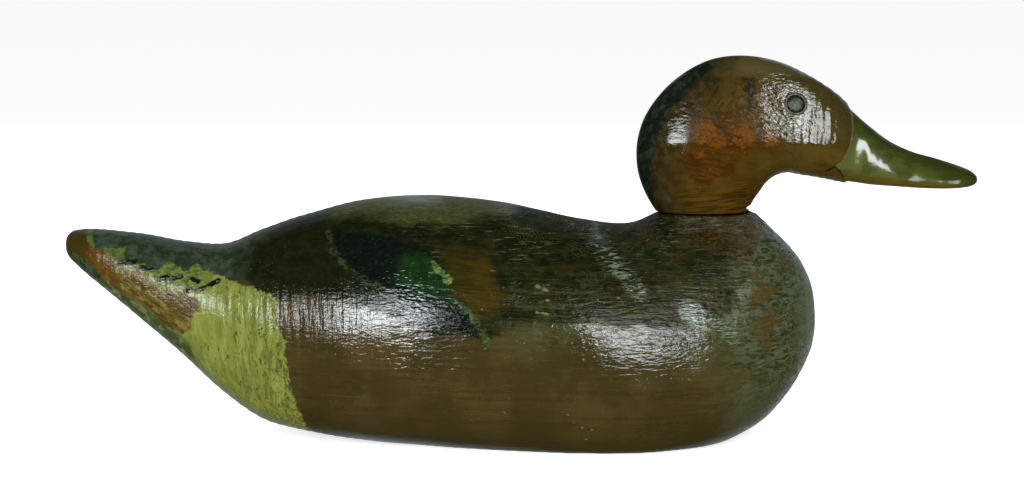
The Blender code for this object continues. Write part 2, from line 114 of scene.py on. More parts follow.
BUFF = [
    (-157, 70), (-150, 69.8), (-146, 69), (-142.2, 67.7), (-136.7, 71), (-134.9, 68.7),
    (-131, 67.6), (-126.8, 69.6), (-122.7, 67.8), (-117.4, 66.4), (-112, 63.8), (-105.5, 62.3),
    (-100.3, 60.8), (-95.5, 59.5), (-94.2, 55.5), (-95.4, 50.6), (-93.4, 45.7), (-91, 42.8),
    (-91.9, 38.8), (-90, 32.6), (-89.7, 26.2), (-88, 19.6), (-86.3, 13.9), (-84, 6), (-84, -9),
    (-135, -9), (-160, 40), (-172, 60)]
DABS = [
    ((-157.3, 70.3), (-151, 70.8)), ((-148.6, 68.8), (-144.4, 68)),
    ((-141.5, 64.4), (-138.2, 65.3)), ((-135.8, 64.8), (-132.8, 65.4)),
    ((-128.4, 64.6), (-126, 63.6)), ((-131, 60), (-128.8, 60.7)),
    ((-126.4, 60.3), (-122.3, 62), (-118, 64.2))]
SPECULUM = [
    (-74.2, 84), (-66, 83.6), (-56, 83), (-48.4, 81.5), (-38.2, 77.6), (-34.3, 74), (-32.4, 70.7),
    (-28.8, 66.4), (-26.5, 61.5), (-21, 57), (-17, 50.5), (-20, 47.6), (-28, 51), (-38, 54.6),
    (-46, 58.6), (-53, 62), (-57, 64.8), (-62, 66.8), (-65.8, 70.2), (-69.6, 73.8), (-72.9, 77.3),
    (-74.6, 81.6)]
GREEN = [
    (-45.5, 76.5), (-35.5, 76.8), (-31, 69.5), (-26.5, 64.8), (-27, 59), (-38, 61.5), (-48, 68)]
REAR_STRIPE = [(-75.2, 83), (-73.6, 77.3), (-70.3, 74.3), (-65.1, 70), (-59.2, 66.6), (-53, 64.2)]
LIME_PATCH = [
    (-35.6, 75), (-33.4, 75.2), (-30.6, 72.2), (-27.4, 69), (-27.2, 66.6), (-29.6, 66.6),
    (-31.6, 69.8), (-34.4, 72)]
LOW_STRIPE = [(-25.4, 59.8), (-20.4, 56.6), (-17.6, 53.1), (-14.9, 48.5), (-12, 44)]
RUBBED_WING = [
    (-31, 76.6), (-20.6, 76), (-13, 78), (-12, 69.5), (-8.4, 60), (-15, 52.6), (-20.4, 57),
    (-28.1, 64.4)]
RUBBED_BRIGHT = [(-17.8, 77), (-11, 77), (-10.2, 66.5), (-17.3, 67)]
UPPER = [
    (-110, 64), (-95, 60), (-83, 59.6), (-70, 60), (-52, 55), (-34, 48), (-16, 46), (-3.4, 49.6),
    (8.7, 51), (21, 52), (31, 51.6), (46, 49.6), (60.8, 48.6), (71, 51), (80, 55), (84, 65.6),
    (84, 75), (82, 88), (75, 130), (-200, 130), (-200, 64)]
# Lighter olive along the top of the back: olive paint, lightened as a painted sheen along the top edge.
OLIVE_BACK_AND_SHEEN = [(-85, 91), (-60, 89), (-30, 87), (-5, 90), (-10, 120), (-85, 120)]
NECK_RUB = [(57, 92), (95, 92), (95, 82), (88, 72), (78, 76), (68, 80), (60, 84)]
FLICKS = [
    ((4.9, 65.9), (10.4, 65.9)), ((5.2, 64.1), (10, 64.2)), ((6.2, 60.3), (10.2, 60.6)),
    ((4.9, 56.4), (9.8, 55.7)), ((54.9, 75.9), (56, 75.9)), ((36.5, 61), (38.6, 59)),
    ((-12, 71), (-10.6, 71)), ((28, 53), (31, 52.6))]
# Painted sheen: strokes where the varnish shines on the shoulder, the breast and just below the neck
# seam.
SHEEN = [
    ((28.7, 79.7), (36, 72), (45, 63.3)), ((62.9, 55.7), (72, 51), (80.6, 45.5)),
    ((63, 86.2), (73, 86.6), (83, 85.4))]
STRIPE = [
    (35, 86), (54, 86), (51.4, 96.8), (50.8, 108.5), (52.6, 117.6), (57.2, 127.9), (64.6, 136.5),
    (72.4, 144), (75, 149), (77, 170), (30, 170)]
DARK_PATCHES = [(86.4, 142.4), (91, 142.4), (90.8, 131), (87.4, 131)]
CHESTNUT = [
    (64.5, 124.6), (69.8, 130.2), (80.6, 130), (86.4, 129), (88, 125), (93.8, 121.6), (99, 121),
    (100, 117), (93.9, 116), (88.1, 114.5), (85.5, 110.7), (82.9, 107.1), (79.5, 103.1),
    (70.1, 99.5), (65.4, 103.1), (63.4, 110.6), (63.6, 118)]
BILL = [
    (125, 140), (127.8, 132.6), (129, 129.5), (129.6, 126), (129.7, 122), (129, 117.6),
    (127.8, 114.1), (125.8, 111), (123.8, 108.8), (122.3, 107.6), (126.8, 102.4), (129.4, 98),
    (131, 90), (190, 90), (190, 140)]
FACE_EDGE = [
    (127.8, 132.6), (129, 129.5), (129.6, 126), (129.7, 122), (129, 117.6), (127.8, 114.1),
    (125.8, 111), (123.8, 108.8), (122.3, 107.6)]
MOUTH = [(118.9, 105.6), (122.3, 107.7), (126.4, 103)]
LOWER_BILL = [
    (124, 107.4), (127, 106.4), (131.6, 104.7), (140.4, 103.3), (149.4, 102.3), (161.5, 101),
    (172.8, 99), (184, 98), (184, 86), (124, 86)]
EYE = (106.7, 132.5)
# Round spots as (x, z, radius).
EMBERS = [
    (69.5, 112.2, 1.6), (86.5, 119.5, 4.4), (96.6, 118.6, 3.0), (70.6, 121.0, 4.6),
    (76.5, 118.0, 2.6)]


# Numbers and meshes

def spline(rows, step):
    """Rows on the Catmull-Rom curve through the given ones, about step apart."""
    table = np.array([tuple(row) for row in rows], float)
    out = []
    for i in range(len(table) - 1):
        a, b, c, d = (table[min(max(j, 0), len(table) - 1)] for j in (i - 1, i, i + 1, i + 2))
        count = max(2, round(span(rows[i], rows[i + 1]) / step))
        t = (np.arange(count) / count)[:, None]
        out.append(0.5 * (2 * b + (c - a) * t + (2 * a - 5 * b + 4 * c - d) * t ** 2
                          + (3 * b - a - 3 * c + d) * t ** 3))
    out.append(table[-1:])
    return [type(rows[0])(*row) for row in np.concatenate(out)]


def span(one, other):
    """How far apart two cross-sections are."""
    if isinstance(one, Slice):
        return max(abs(one.x - other.x), abs(one.half_width - other.half_width))
    swing = math.radians(abs(one.turn - other.turn)) * (one.far + other.far) * 0.45
    return max(swing, abs(one.hub_x - other.hub_x), abs(one.half_width - other.half_width))


def oval(half_width, rise, fall, rise_power, fall_power, count):
    """Evenly spaced (across, up) round an oval whose halves differ, from its top."""
    angle = np.linspace(0, math.pi, 600)
    s, c = np.sin(angle), np.cos(angle)
    power = np.where(c >= 0, rise_power, fall_power)
    across = half_width * np.abs(s) ** (2 / power)
    up = np.where(c >= 0, rise, fall) * np.sign(c) * np.abs(c) ** (2 / power)
    run = np.concatenate([[0], np.cumsum(np.hypot(np.diff(across), np.diff(up)))])
    even = np.linspace(0, run[-1], count // 2 + 1)
    across, up = np.interp(even, run, across), np.interp(even, run, up)
    return (np.concatenate([across, -across[-2:0:-1]]), np.concatenate([up, up[-2:0:-1]]))


def body_ring(row, count):
    y, z = oval(row.half_width, row.top - row.mid, row.mid - row.bottom, row.upper_power,
                row.lower_power, count)
    return np.stack([np.full(count, row.x), y, row.mid + z], axis=1)


def head_ring(row, count):
    length = row.far - row.near
    mid = row.near + row.widest * length
    y, r = oval(row.half_width, row.far - mid, mid - row.near, row.far_power, row.near_power,
                count)
    turn = math.radians(row.turn)
    reach = mid + r
    return np.stack([row.hub_x + reach * math.cos(turn), y,
                     SEAT_Z + reach * math.sin(turn)], axis=1)


def loft(name, rings):
    """A closed mesh over the rings, in millimetres until finished() scales it."""
    count = len(rings[0])
    shape = bmesh.new()
    for point in np.concatenate(rings):
        shape.verts.new(point)
    shape.verts.ensure_lookup_table()
    for i in range(len(rings) - 1):
        for j in range(count):
            k = (j + 1) % count
            corners = (i * count + j, i * count + k, (i + 1) * count + k, (i + 1) * count + j)
            shape.faces.new([shape.verts[n] for n in corners])
    shape.verts.ensure_lookup_table()
    if np.ptp(rings[0], axis=0).max() > 1e-6:
        shape.faces.new([shape.verts[n] for n in range(count)])
    bmesh.ops.remove_doubles(shape, verts=shape.verts, dist=1e-4)
    bmesh.ops.recalc_face_normals(shape, faces=shape.faces)
    mesh = bpy.data.meshes.new(name)
    shape.to_mesh(mesh)
    shape.free()
    return link(name, mesh)


def link(name, data):
    obj = bpy.data.objects.new(name, data)
    bpy.context.scene.collection.objects.link(obj)
    return obj


def triples(items, name):
    out = np.empty(len(items) * 3, np.float32)
    items.foreach_get(name, out)
    return out.reshape(-1, 3).astype(float)


def points_of(obj):
    return triples(obj.data.vertices, "co")


def normals_of(obj):
    return triples(obj.data.vertex_normals, "vector")


def set_points(obj, points):
    obj.data.vertices.foreach_set("co", points.astype(np.float32).ravel())
    obj.data.update()


def field(obj, name, values):
    """Keeps one number for each vertex, for the materials to read."""
    layer = obj.data.attributes.new(name, "FLOAT", "POINT")
    layer.data.foreach_set("value", np.asarray(values, np.float32))


def path_distance(x, z, path, closed=False):
    """How far each point is from a line through the path's points."""
    path = np.array(path, float)
    ends = np.roll(path, -1, axis=0) if closed else path[1:]
    best = np.full(len(x), 1e9)
    for (ax, az), (bx, bz) in zip(path, ends):
        dx, dz = bx - ax, bz - az
        t = np.clip(((x - ax) * dx + (z - az) * dz) / (dx * dx + dz * dz), 0, 1)
        best = np.minimum(best, np.hypot(x - ax - t * dx, z - az - t * dz))
    return best


def strokes(x, z, half_width, paths):
    """The distance to the edge of lines drawn along the paths, positive within them."""
    return np.max([half_width - path_distance(x, z, path) for path in paths], axis=0)


def inside(x, z, outline):
    """The distance to an outline's edge, positive within it."""
    path = np.array(outline, float)
    odd = np.zeros(len(x), bool)
    for (ax, az), (bx, bz) in zip(path, np.roll(path, -1, axis=0)):
        crosses = (az > z) != (bz > z)
        slope = (bx - ax) / (bz - az if bz != az else 1e-9)
        odd ^= crosses & (x < ax + (z - az) * slope)
    return np.where(odd, 1, -1) * path_distance(x, z, path, closed=True)


def smoothstep(value, low, high):
    t = np.clip((value - low) / (high - low), 0, 1)
    return t * t * (3 - 2 * t)


def lumps(points, size, seed=0.0):
    """Smooth noise from about -1 to 1, one value for each point."""
    shift = Vector((seed * 17.3, seed * 5.1, seed * 9.7))
    return np.array([noise.noise(Vector(p) / size + shift) for p in points])


def turned(name, profile, sides=40):
    """A round piece about Z through (radius, level) points; both ends are on the axis."""
    angle = np.linspace(0, 2 * math.pi, sides, endpoint=False)
    return loft(name, [np.stack([r * np.cos(angle), r * np.sin(angle), np.full(sides, z)], axis=1)
                       for r, z in profile])


def cylinder(name, radius, low, high, at=(0, 0), stretch=(1, 1)):
    obj = turned(name, [(0, low), (radius, low), (radius, high), (0, high)], 96)
    points = points_of(obj)
    points[:, 0] = points[:, 0] * stretch[0] + at[0]
    points[:, 1] = points[:, 1] * stretch[1] + at[1]
    set_points(obj, points)
    return obj


def combined(target, cutters, operation="DIFFERENCE"):
    """Cuts the cutters out of target, or joins them to it, and keeps the result's mesh."""
    for cutter in cutters:
        modifier = target.modifiers.new("cut", "BOOLEAN")
        modifier.operation = operation
        modifier.solver = "MANIFOLD"
        modifier.object = cutter
    depsgraph = bpy.context.evaluated_depsgraph_get()
    mesh = bpy.data.meshes.new_from_object(target.evaluated_get(depsgraph))
    target.modifiers.clear()
    target.data = mesh
    for cutter in cutters:
        bpy.data.objects.remove(cutter)
    return target


def finished(obj, body, look, node):
    """Scales a piece from millimetres to metres, hides the CAD piece it stands for and puts it on its
    body.
    """
    obj.data.transform(Matrix.Scale(MM, 4))
    obj.data.shade_smooth()
    obj.data.set_sharp_from_angle(angle=SHARP_ANGLE)
    obj.data.materials.clear()
    obj.data.materials.append(look)
    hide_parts(node)
    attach(obj, body)
    return obj


# Materials

PAINT_LEVEL = 0.60


def tint(code, level=1.0):
    """A linear colour from its usual hex code."""
    parts = [int(code[i:i + 2], 16) / 255 for i in (1, 3, 5)]
    linear = [p / 12.92 if p <= 0.04045 else ((p + 0.055) / 1.055) ** 2.4 for p in parts]
    return (*(min(1.0, p * level) for p in linear), 1.0)


class Look:
    """One material, put together node by node. Its lengths are in millimetres."""

    def __init__(self, name, roughness=0.5, metallic=0.0, coat=0.0, coat_roughness=0.12,
                 level=PAINT_LEVEL):
        self.level = level
        self.colour = None
        self.material = bpy.data.materials.new(name)
        self.material.use_nodes = True
        self.nodes = self.material.node_tree.nodes
        self.links = self.material.node_tree.links
        self.shader = self.nodes["Principled BSDF"]
        for socket, value in (("Roughness", roughness), ("Metallic", metallic),
                              ("Coat Weight", coat), ("Coat Roughness", coat_roughness)):
            self.shader.inputs[socket].default_value = value
        if coat:
            self.shader.inputs["Specular IOR Level"].default_value = 0.0
            self.shader.inputs["Coat IOR"].default_value = 1.65
        self.where = self.nodes.new("ShaderNodeTexCoord").outputs["Object"]
        parts = self.add("SeparateXYZ", self.where)
        self.x, self.y, self.z = (self.math("MULTIPLY", parts.outputs[i], 1 / MM)
                                  for i in range(3))

    def add(self, kind, *inputs):
        """A node with its first inputs set or linked."""
        node = self.nodes.new(f"ShaderNode{kind}")
        for socket, value in zip(node.inputs, inputs):
            self.feed(socket, value)
        return node

    def feed(self, socket, value):
        if isinstance(value, bpy.types.NodeSocket):
            self.links.new(value, socket)
        else:
            socket.default_value = value

    def math(self, operation, a, b=0.0, c=0.0):
        node = self.add("Math", a, b, c)
        node.operation = operation
        return node.outputs[0]

    def ramp(self, value, low, high, bottom=0.0, top=1.0):
        """From bottom to top, smoothly, as value goes from low to high."""
        node = self.add("MapRange", value, low, high, bottom, top)
        node.interpolation_type = "SMOOTHSTEP"
        return node.outputs[0]

    def shifted(self, value, by, amount):
        return self.math("MULTIPLY_ADD", by, amount, value)

    def times(self, *values):
        return reduce(partial(self.math, "MULTIPLY"), values)

    def most(self, *values):
        return reduce(partial(self.math, "MAXIMUM"), values)

    def without(self, value, mask):
        """value where the mask is 0, and nothing where it is 1."""
        return self.math("MULTIPLY", value, self.math("SUBTRACT", 1.0, mask))

    def sum(self, *terms):
        """The sum of value * weight over (value, weight) pairs."""
        total = 0.0
        for value, weight in terms:
            total = self.math("MULTIPLY_ADD", value, weight, total)
        return total

    def field(self, name):
        node = self.nodes.new("ShaderNodeAttribute")
        node.attribute_name = name
        return node.outputs["Fac"]

    def placed(self, size, seed, turn):
        """Coordinates in which one unit is size millimetres, along axes turned about Y."""
        size = (size,) * 3 if isinstance(size, (int, float)) else size
        node = self.nodes.new("ShaderNodeMapping")
        node.vector_type = "TEXTURE"
        node.inputs["Location"].default_value = (seed * 0.137, seed * 0.071, seed * 0.093)
        node.inputs["Rotation"].default_value = (0, math.radians(turn), 0)
        node.inputs["Scale"].default_value = [s * MM for s in size]
        self.links.new(self.where, node.inputs["Vector"])
        return node.outputs["Vector"]

    def noise(self, size, detail=2.0, rough=0.5, seed=0, turn=0.0, distortion=0.0):
        node = self.nodes.new("ShaderNodeTexNoise")
        for socket, value in (("Vector", self.placed(size, seed, turn)), ("Scale", 1.0),
                              ("Detail", detail), ("Roughness", rough),
                              ("Distortion", distortion)):
            self.feed(node.inputs[socket], value)
        return node.outputs["Fac"]

    def cells(self, size, seed=0, edges=False, turn=0.0):
        node = self.nodes.new("ShaderNodeTexVoronoi")
        node.feature = "DISTANCE_TO_EDGE" if edges else "F1"
        self.feed(node.inputs["Vector"], self.placed(size, seed, turn))
        self.feed(node.inputs["Scale"], 1.0)
        return node.outputs["Distance"]

    def mix(self, share, under, over):
        """The colour under, covered by the colour over where share, or its product, is 1."""
        share = self.times(*share) if isinstance(share, tuple) else share
        node = self.nodes.new("ShaderNodeMix")
        node.data_type = "RGBA"
        colours = [s for s in node.inputs if s.type == "RGBA"]
        self.feed(node.inputs[0], share)
        for socket, value in zip(colours, (under, over)):
            self.feed(socket, tint(value, self.level) if isinstance(value, str) else value)
        return next(s for s in node.outputs if s.type == "RGBA")

    def within(self, name, uneven=1.0, size=4.0, soft=0.3, seed=0, inset=0.0, stretch=1.0):
        """1 inside the outline kept as name, with an edge that wanders by about uneven."""
        wander = self.noise((size * stretch, size, size), 5, 0.65, seed)
        value = self.math("MULTIPLY_ADD", wander, uneven * 5, self.field(name))
        middle = uneven * 2.5 + inset
        return self.ramp(value, middle - soft, middle + soft)

    def dulled(self, dull):
        """Takes the varnish's shine away where dull is 1."""
        self.feed(self.shader.inputs["Coat Weight"], self.math("SUBTRACT", 1.0, dull))

    def paint(self, share, over):
        """Covers the colour so far with another one."""
        self.colour = self.mix(share, self.colour, over)

    def done(self, height):
        """Gives the shader the colour and a relief of height millimetres."""
        self.feed(self.shader.inputs["Base Color"], self.colour)
        bump = self.nodes.new("ShaderNodeBump")
        self.feed(bump.inputs["Strength"], 1.0)
        self.feed(bump.inputs["Distance"], MM)
        self.feed(bump.inputs["Height"], height)
        self.links.new(bump.outputs[0], self.shader.inputs["Normal"])
        if self.shader.inputs["Coat Weight"].default_value:
            self.links.new(bump.outputs[0], self.shader.inputs["Coat Normal"])
        return self.material


def body_paint():
    """Worn brown, olive and black oil paint, with bare wood at the tail, under yellow varnish."""
    k = Look("body_paint", roughness=0.6, coat=1.0, coat_roughness=0.065)
    grain = k.noise((46, 30, 1.7), 5, 0.62, 1, distortion=0.4)
    streaks = k.noise((14, 12, 0.9), 4, 0.65, 2, turn=3)
    blotch = k.noise(24, 3, 0.55, 3)
    mottle = k.noise(4.5, 4, 0.65, 4)
    fine = k.noise((2.2, 1.6, 1.1), 3, 0.6, 5)
    scribble = k.noise((3.4, 2.6, 1.0), 5, 0.75, 11, distortion=1.5)
    dashes = k.noise((6.5, 4, 0.55), 3, 0.6, 30)

    flank = k.mix(k.ramp(blotch, 0.4, 0.62), "#3c3217", "#4a3d1e")
    flank = k.mix((k.ramp(grain, 0.48, 0.66), 0.45), flank, "#2c250c")
    flank = k.mix((k.ramp(streaks, 0.56, 0.72), 0.5), flank, "#5c4a1c")
    flank = k.mix((k.ramp(fine, 0.58, 0.72), 0.25), flank, "#5d5226")
    flank = k.mix((k.ramp(k.z, 26, 4), 0.6), flank, "#362d10")
    # Partly paint tone, partly painted sheen: the forward flank turns greener round the breast's
    # highlight.
    green_tone_and_sheen = k.times(k.ramp(k.x, -20, 40), k.ramp(k.z, 24, 46), k.ramp(blotch, 0.35, 0.6))
    flank = k.mix((green_tone_and_sheen, 0.75), flank, "#43472a")

    back = k.mix(k.ramp(mottle, 0.4, 0.62), "#14170a", "#20240f")
    back = k.mix((k.ramp(grain, 0.5, 0.64), k.ramp(k.x, -60, 0, 0.12, 0.5)), back, "#33290f")
    behind_wing = k.times(k.ramp(k.x, -66, -82), k.ramp(blotch, 0.38, 0.56))
    back = k.mix((behind_wing, 0.4), back, "#1d1a0a")
    # Olive paint on the top of the back, made lighter as a painted sheen along the top edge.
    olive = k.within("olive", 3, 12, 2.5, 6, stretch=2)
    back = k.mix((olive, 0.8), back, k.mix(k.ramp(fine, 0.4, 0.7), "#444621", "#5a5a2e"))
    brush = k.cells((11, 40, 8), 7)
    combed = k.math("SINE", k.math("MULTIPLY", brush, 70))
    combing = k.times(k.ramp(k.x, -20, -4), k.ramp(k.x, 58, 44), k.ramp(k.z, 56, 64),
                      k.ramp(k.noise(9, 2, 0.5, 8), 0.44, 0.54), k.ramp(brush, 0.55, 0.42))
    lines = k.times(combing, k.ramp(combed, 0.35, 0.95))
    back = k.mix((lines, 0.75), back, "#454026")
    # Painted glints: thin light dashes on the back stand for reflections on the varnish's ripples.
    painted_glint_dashes = k.times(k.ramp(dashes, 0.58, 0.64), k.ramp(k.x, -56, -40), k.ramp(k.z, 70, 78),
                   k.ramp(blotch, 0.4, 0.55))
    back = k.mix((painted_glint_dashes, 0.6), back, "#686c50")

    upper = k.within("upper", 3.0, 8, 1.4, 9, stretch=2.5)
    k.colour = k.mix(upper, flank, back)
    worn = k.times(k.within("upper", 7, 3.5, 1.2, 10, stretch=4, inset=-3), k.ramp(k.x, -18, 6),
                   k.ramp(k.z, 80, 58), k.ramp(streaks, 0.46, 0.58))
    k.paint((worn, 0.55), k.mix(k.ramp(mottle, 0.4, 0.6), "#463c16", "#495033"))
    worn_dark = k.times(k.within("upper", 6, 3.0, 1.0, 69, stretch=5, inset=-7),
                        k.ramp(k.x, -12, 8), k.ramp(scribble, 0.5, 0.6))
    k.paint((worn_dark, 0.6), "#25270f")

    coarse = k.noise((6.5, 5, 1.9), 5, 0.7, 89, distortion=1.3)
    stains = k.noise((11, 9, 7), 3, 0.55, 90)
    band = k.times(k.within("upper", 4, 5, 3.0, 91, stretch=3, inset=-8),
                   k.without(1.0, k.within("upper", 4, 5, 3.0, 91, stretch=3, inset=3)),
                   k.ramp(k.x, -14, 8), k.ramp(coarse, 0.46, 0.6))
    k.paint((band, 0.5), "#484c2e")
    forward = k.times(k.ramp(k.shifted(k.x, blotch, 60), 50, 80), k.ramp(k.z, 38, 56),
                      k.math("MULTIPLY_ADD", upper, -0.68, 1.0))
    k.paint((forward, k.ramp(coarse, 0.5, 0.58), 0.85), "#454b30")
    k.paint((forward, k.ramp(stains, 0.52, 0.6), 0.7), "#4f3a11")
    # Light scribbles: partly scratched paint, partly painted glints.
    k.paint((forward, k.ramp(scribble, 0.6, 0.66), 0.85), "#868d69")
    breast = k.ramp(k.shifted(k.x, blotch, 36), 88, 106)
    front = k.mix(k.ramp(coarse, 0.4, 0.6), "#2a2d15", "#565e3f")
    front = k.mix((k.ramp(stains, 0.5, 0.6), 0.7), front, "#50411b")
    # Light scribbles: partly scratched paint, partly painted glints.
    front = k.mix((k.ramp(scribble, 0.62, 0.7), 0.7), front, "#868f6a")
    front = k.mix((k.ramp(k.z, 36, 14), 0.75), front, "#474a2e")
    # Painted light: the breast's front edge is made lighter, as if lit from the bill's side.
    front = k.mix((k.ramp(k.x, 104, 114), 0.6), front, "#5a6642")
    k.paint((breast, 0.85), front)

    rubbed = k.within("rubbed_wing", 4.5, 7, 5.0, 12, stretch=1.8)
    patch = k.mix(k.ramp(streaks, 0.4, 0.66), "#2f280b", "#463810")
    patch = k.mix((k.within("rubbed_bright", 2.6, 4, 2.5, 77), 0.6), patch, "#48370c")
    k.paint((rubbed, 0.95), patch)
    wing = k.within("speculum", 1.1, 4, 0.6, 13)
    wing_colour = k.mix(k.ramp(fine, 0.45, 0.7), "#0d130e", "#161e18")
    green = k.within("green", 2.4, 6, 2.2, 14)
    wing_colour = k.mix((green, 0.9), wing_colour,
                        k.mix(k.ramp(mottle, 0.4, 0.62), "#142a0f", "#1d3617"))
    k.paint(wing, wing_colour)
    rear = k.times(k.within("rear_stripe", 1.2, 4, 0.6, 15), k.ramp(fine, 0.38, 0.54))
    k.paint((rear, 0.6), "#474b2c")
    low = k.times(k.within("low_stripe", 1.0, 2.5, 0.3, 78), k.ramp(fine, 0.36, 0.52))
    k.paint((low, 0.85), k.mix(k.ramp(mottle, 0.4, 0.6), "#2f4424", "#50643c"))
    lime = k.times(k.within("lime_patch", 1.1, 4, 0.4, 16), k.ramp(fine, 0.34, 0.48))
    k.paint(lime, k.mix(k.ramp(mottle, 0.38, 0.6), "#3f5527", "#708c48"))

    # Painted sheen: light streaks along the sheen strokes stand for the varnish's shine.
    sheen = k.within("sheen", 1.6, 5, 2.0, 93)
    painted_sheen_streaks = k.times(sheen, k.ramp(k.noise((5, 4, 0.8), 4, 0.65, 94, distortion=1.0), 0.5, 0.6))
    k.paint((painted_sheen_streaks, 0.8), "#7f8c74")
    neck = k.times(k.within("neck_rub", 2.5, 3, 1.2, 17), k.ramp(scribble, 0.4, 0.56))
    k.paint((neck, 0.7), "#574015")
    seam = k.ramp(k.z, 87.9, 88.5)
    k.paint((seam, k.ramp(k.x, 44, 46), k.ramp(k.x, 102, 98)), "#140f06")
    flecks = k.times(k.ramp(k.noise((1.9, 1.4, 1.0), 1, 0.5, 18), 0.72, 0.76),
                     k.ramp(blotch, 0.46, 0.62), k.ramp(k.x, -60, 10, 0.3, 1.0))
    flicks = k.times(k.within("flicks", 0.3, 1.5, 0.2, 79), k.ramp(k.math("MULTIPLY", k.y, -1), -10, 0))
    k.paint((k.most(flecks, flicks), 0.7), "#7f8360")

    tail_top = k.mix(k.ramp(mottle, 0.4, 0.65), "#27321f", "#414d3b")
    tail_top = k.mix((k.ramp(streaks, 0.58, 0.74), 0.6), tail_top, "#5b684e")
    at_tail = k.ramp(k.shifted(k.x, blotch, 30), -82, -100)
    k.paint((at_tail, upper), tail_top)

    buff_edge = k.within("buff", 1.2, 3.0, 0.35, 19)
    tone = k.noise((3.0, 6, 16), 4, 0.6, 20, turn=-6)
    buff = k.mix(k.ramp(tone, 0.36, 0.64), "#737933", "#8a9046")
    buff = k.mix((k.ramp(mottle, 0.5, 0.64), 0.6), buff, "#86852f")
    soil = k.noise((1.5, 3, 4.5), 5, 0.75, 21, turn=-6)
    specks = k.noise((1.2, 1.2, 1.6), 4, 0.7, 80)
    dirt = k.times(k.ramp(k.math("MULTIPLY_ADD", k.x, 0.0034, soil), 0.14, 0.24),
                   k.ramp(specks, 0.44, 0.54))
    dirt = k.most(dirt, k.times(k.ramp(specks, 0.56, 0.64), k.ramp(soil, 0.5, 0.58), 0.8))
    buff = k.mix((dirt, 0.85), buff, "#3a3d16")
    streaked = k.times(k.ramp(k.noise((1.6, 4, 13), 3, 0.6, 87, turn=-6), 0.5, 0.6),
                       k.ramp(k.x, -118, -96, 0.25, 0.75))
    buff = k.mix(streaked, buff, "#5a5c26")
    corner = k.times(k.ramp(k.x, -118, -128), k.ramp(k.shifted(k.z, mottle, 6), 63, 66))
    buff = k.mix((corner, 0.85), buff, k.mix(k.ramp(fine, 0.4, 0.6), "#414a22", "#6a7638"))
    low_edge = k.shifted(k.field("belly"), mottle, -5)
    # Painted shade and cool reflection: the buff turns a greyer green towards the underside of the
    # rump.
    buff = k.mix((k.ramp(low_edge, 7, 2), k.ramp(k.x, -88, -98), 0.8), buff, "#66714a")
    under_band = k.ramp(k.shifted(k.x, mottle, 10), -120, -127)
    buff = k.mix((under_band, k.ramp(low_edge, 11, 7), 0.95), buff,
                 k.mix(k.ramp(mottle, 0.48, 0.6), "#3d4724", "#66714a"))
    k.paint(buff_edge, buff)

    bare = k.within("tail", 0.9, 2.6, 0.3, 23)
    ring_grain = k.noise((22, 6, 1.4), 4, 0.6, 24, turn=34, distortion=0.6)
    wood = k.mix(k.ramp(ring_grain, 0.36, 0.64), "#46370f", "#665222")
    # Pale patches on the bare wood: partly wear, partly a painted highlight along the wood's crest.
    pale_wear_and_glint = k.times(k.ramp(k.noise((5, 4, 2.4), 4, 0.65, 81, turn=34), 0.5, 0.6),
                        k.ramp(k.x, -170, -162))
    wood = k.mix((pale_wear_and_glint, 0.75), wood, "#817443")
    wood = k.mix((k.ramp(k.shifted(k.x, mottle, 6), -163, -169), 0.9), wood,
                 "#3f320d")
    rusty = k.times(k.ramp(k.x, -157, -163), k.ramp(k.x, -174, -167), k.ramp(k.z, 77, 74))
    wood = k.mix((rusty, 0.7), wood, "#5d3a0b")
    wood = k.mix((k.ramp(k.field("belly"), 5.5, 3.5), 0.8), wood, "#32341a")
    k.paint(bare, wood)
    chips = k.within("chips", 0.4, 2.0, 0.2, 25)
    k.paint(chips, k.mix(k.ramp(mottle, 0.4, 0.6), "#4c5326", "#5f6a35"))
    dabs = k.times(k.within("dabs", 0.35, 1.6, 0.2, 26), k.ramp(fine, 0.36, 0.46))
    k.paint(dabs, "#111710")

    waves = k.noise((9, 8, 1.7), 1, 0.35, 95, distortion=1.1)
    whorls = k.noise((3.4, 2.8, 1.0), 1, 0.4, 96, distortion=2.0)
    rear_part = k.ramp(k.x, -44, -58)
    ripples = k.noise((7.0, 6.0, 1.6), 2, 0.5, 27, distortion=0.6)
    turned_marks = k.noise((1.7, 30, 16), 2, 0.5, 82, distortion=0.3)
    broken = k.noise((2.4, 2.4, 1.1), 3, 0.6, 28)
    crazing = k.ramp(k.cells((3.4, 3.4, 2.2), 29, edges=True), 0.0, 0.09)
    low_calm = k.times(k.ramp(k.z, 26, 44, 0.35, 1.0), k.ramp(k.x, 30, 10, 0.35, 1.0))
    height = k.sum(
        (k.times(k.without(ripples, rear_part), low_calm), 0.42),
        (k.times(ripples, rear_part), 0.10), (k.times(turned_marks, rear_part), 0.30),
        (k.times(broken, low_calm), 0.16), (crazing, 0.02), (grain, 0.06),
        (k.times(scribble, forward), 0.10), (k.times(scribble, breast), 0.10),
        (k.times(waves, k.ramp(k.x, 5, 30), k.ramp(k.z, 26, 38)), 0.40),
        (k.times(whorls, k.ramp(k.x, 5, 30), k.ramp(k.z, 26, 38)), 0.13),
        (k.times(broken, bare), 0.22), (lines, 0.05), (wing, 0.05), (lime, 0.08),
        (buff_edge, 0.08), (bare, -0.1), (dabs, 0.1), (k.times(bare, ring_grain), 0.14),
        (k.most(flecks, flicks), 0.09), (k.times(neck, mottle), 0.9))
    ragged = k.math("MULTIPLY_ADD", k.noise((16, 12, 7), 4, 0.6, 97), 30, k.x)
    shoulder = k.times(upper, k.ramp(k.x, -14, 2), k.ramp(k.x, 100, 84), k.without(0.85, sheen))
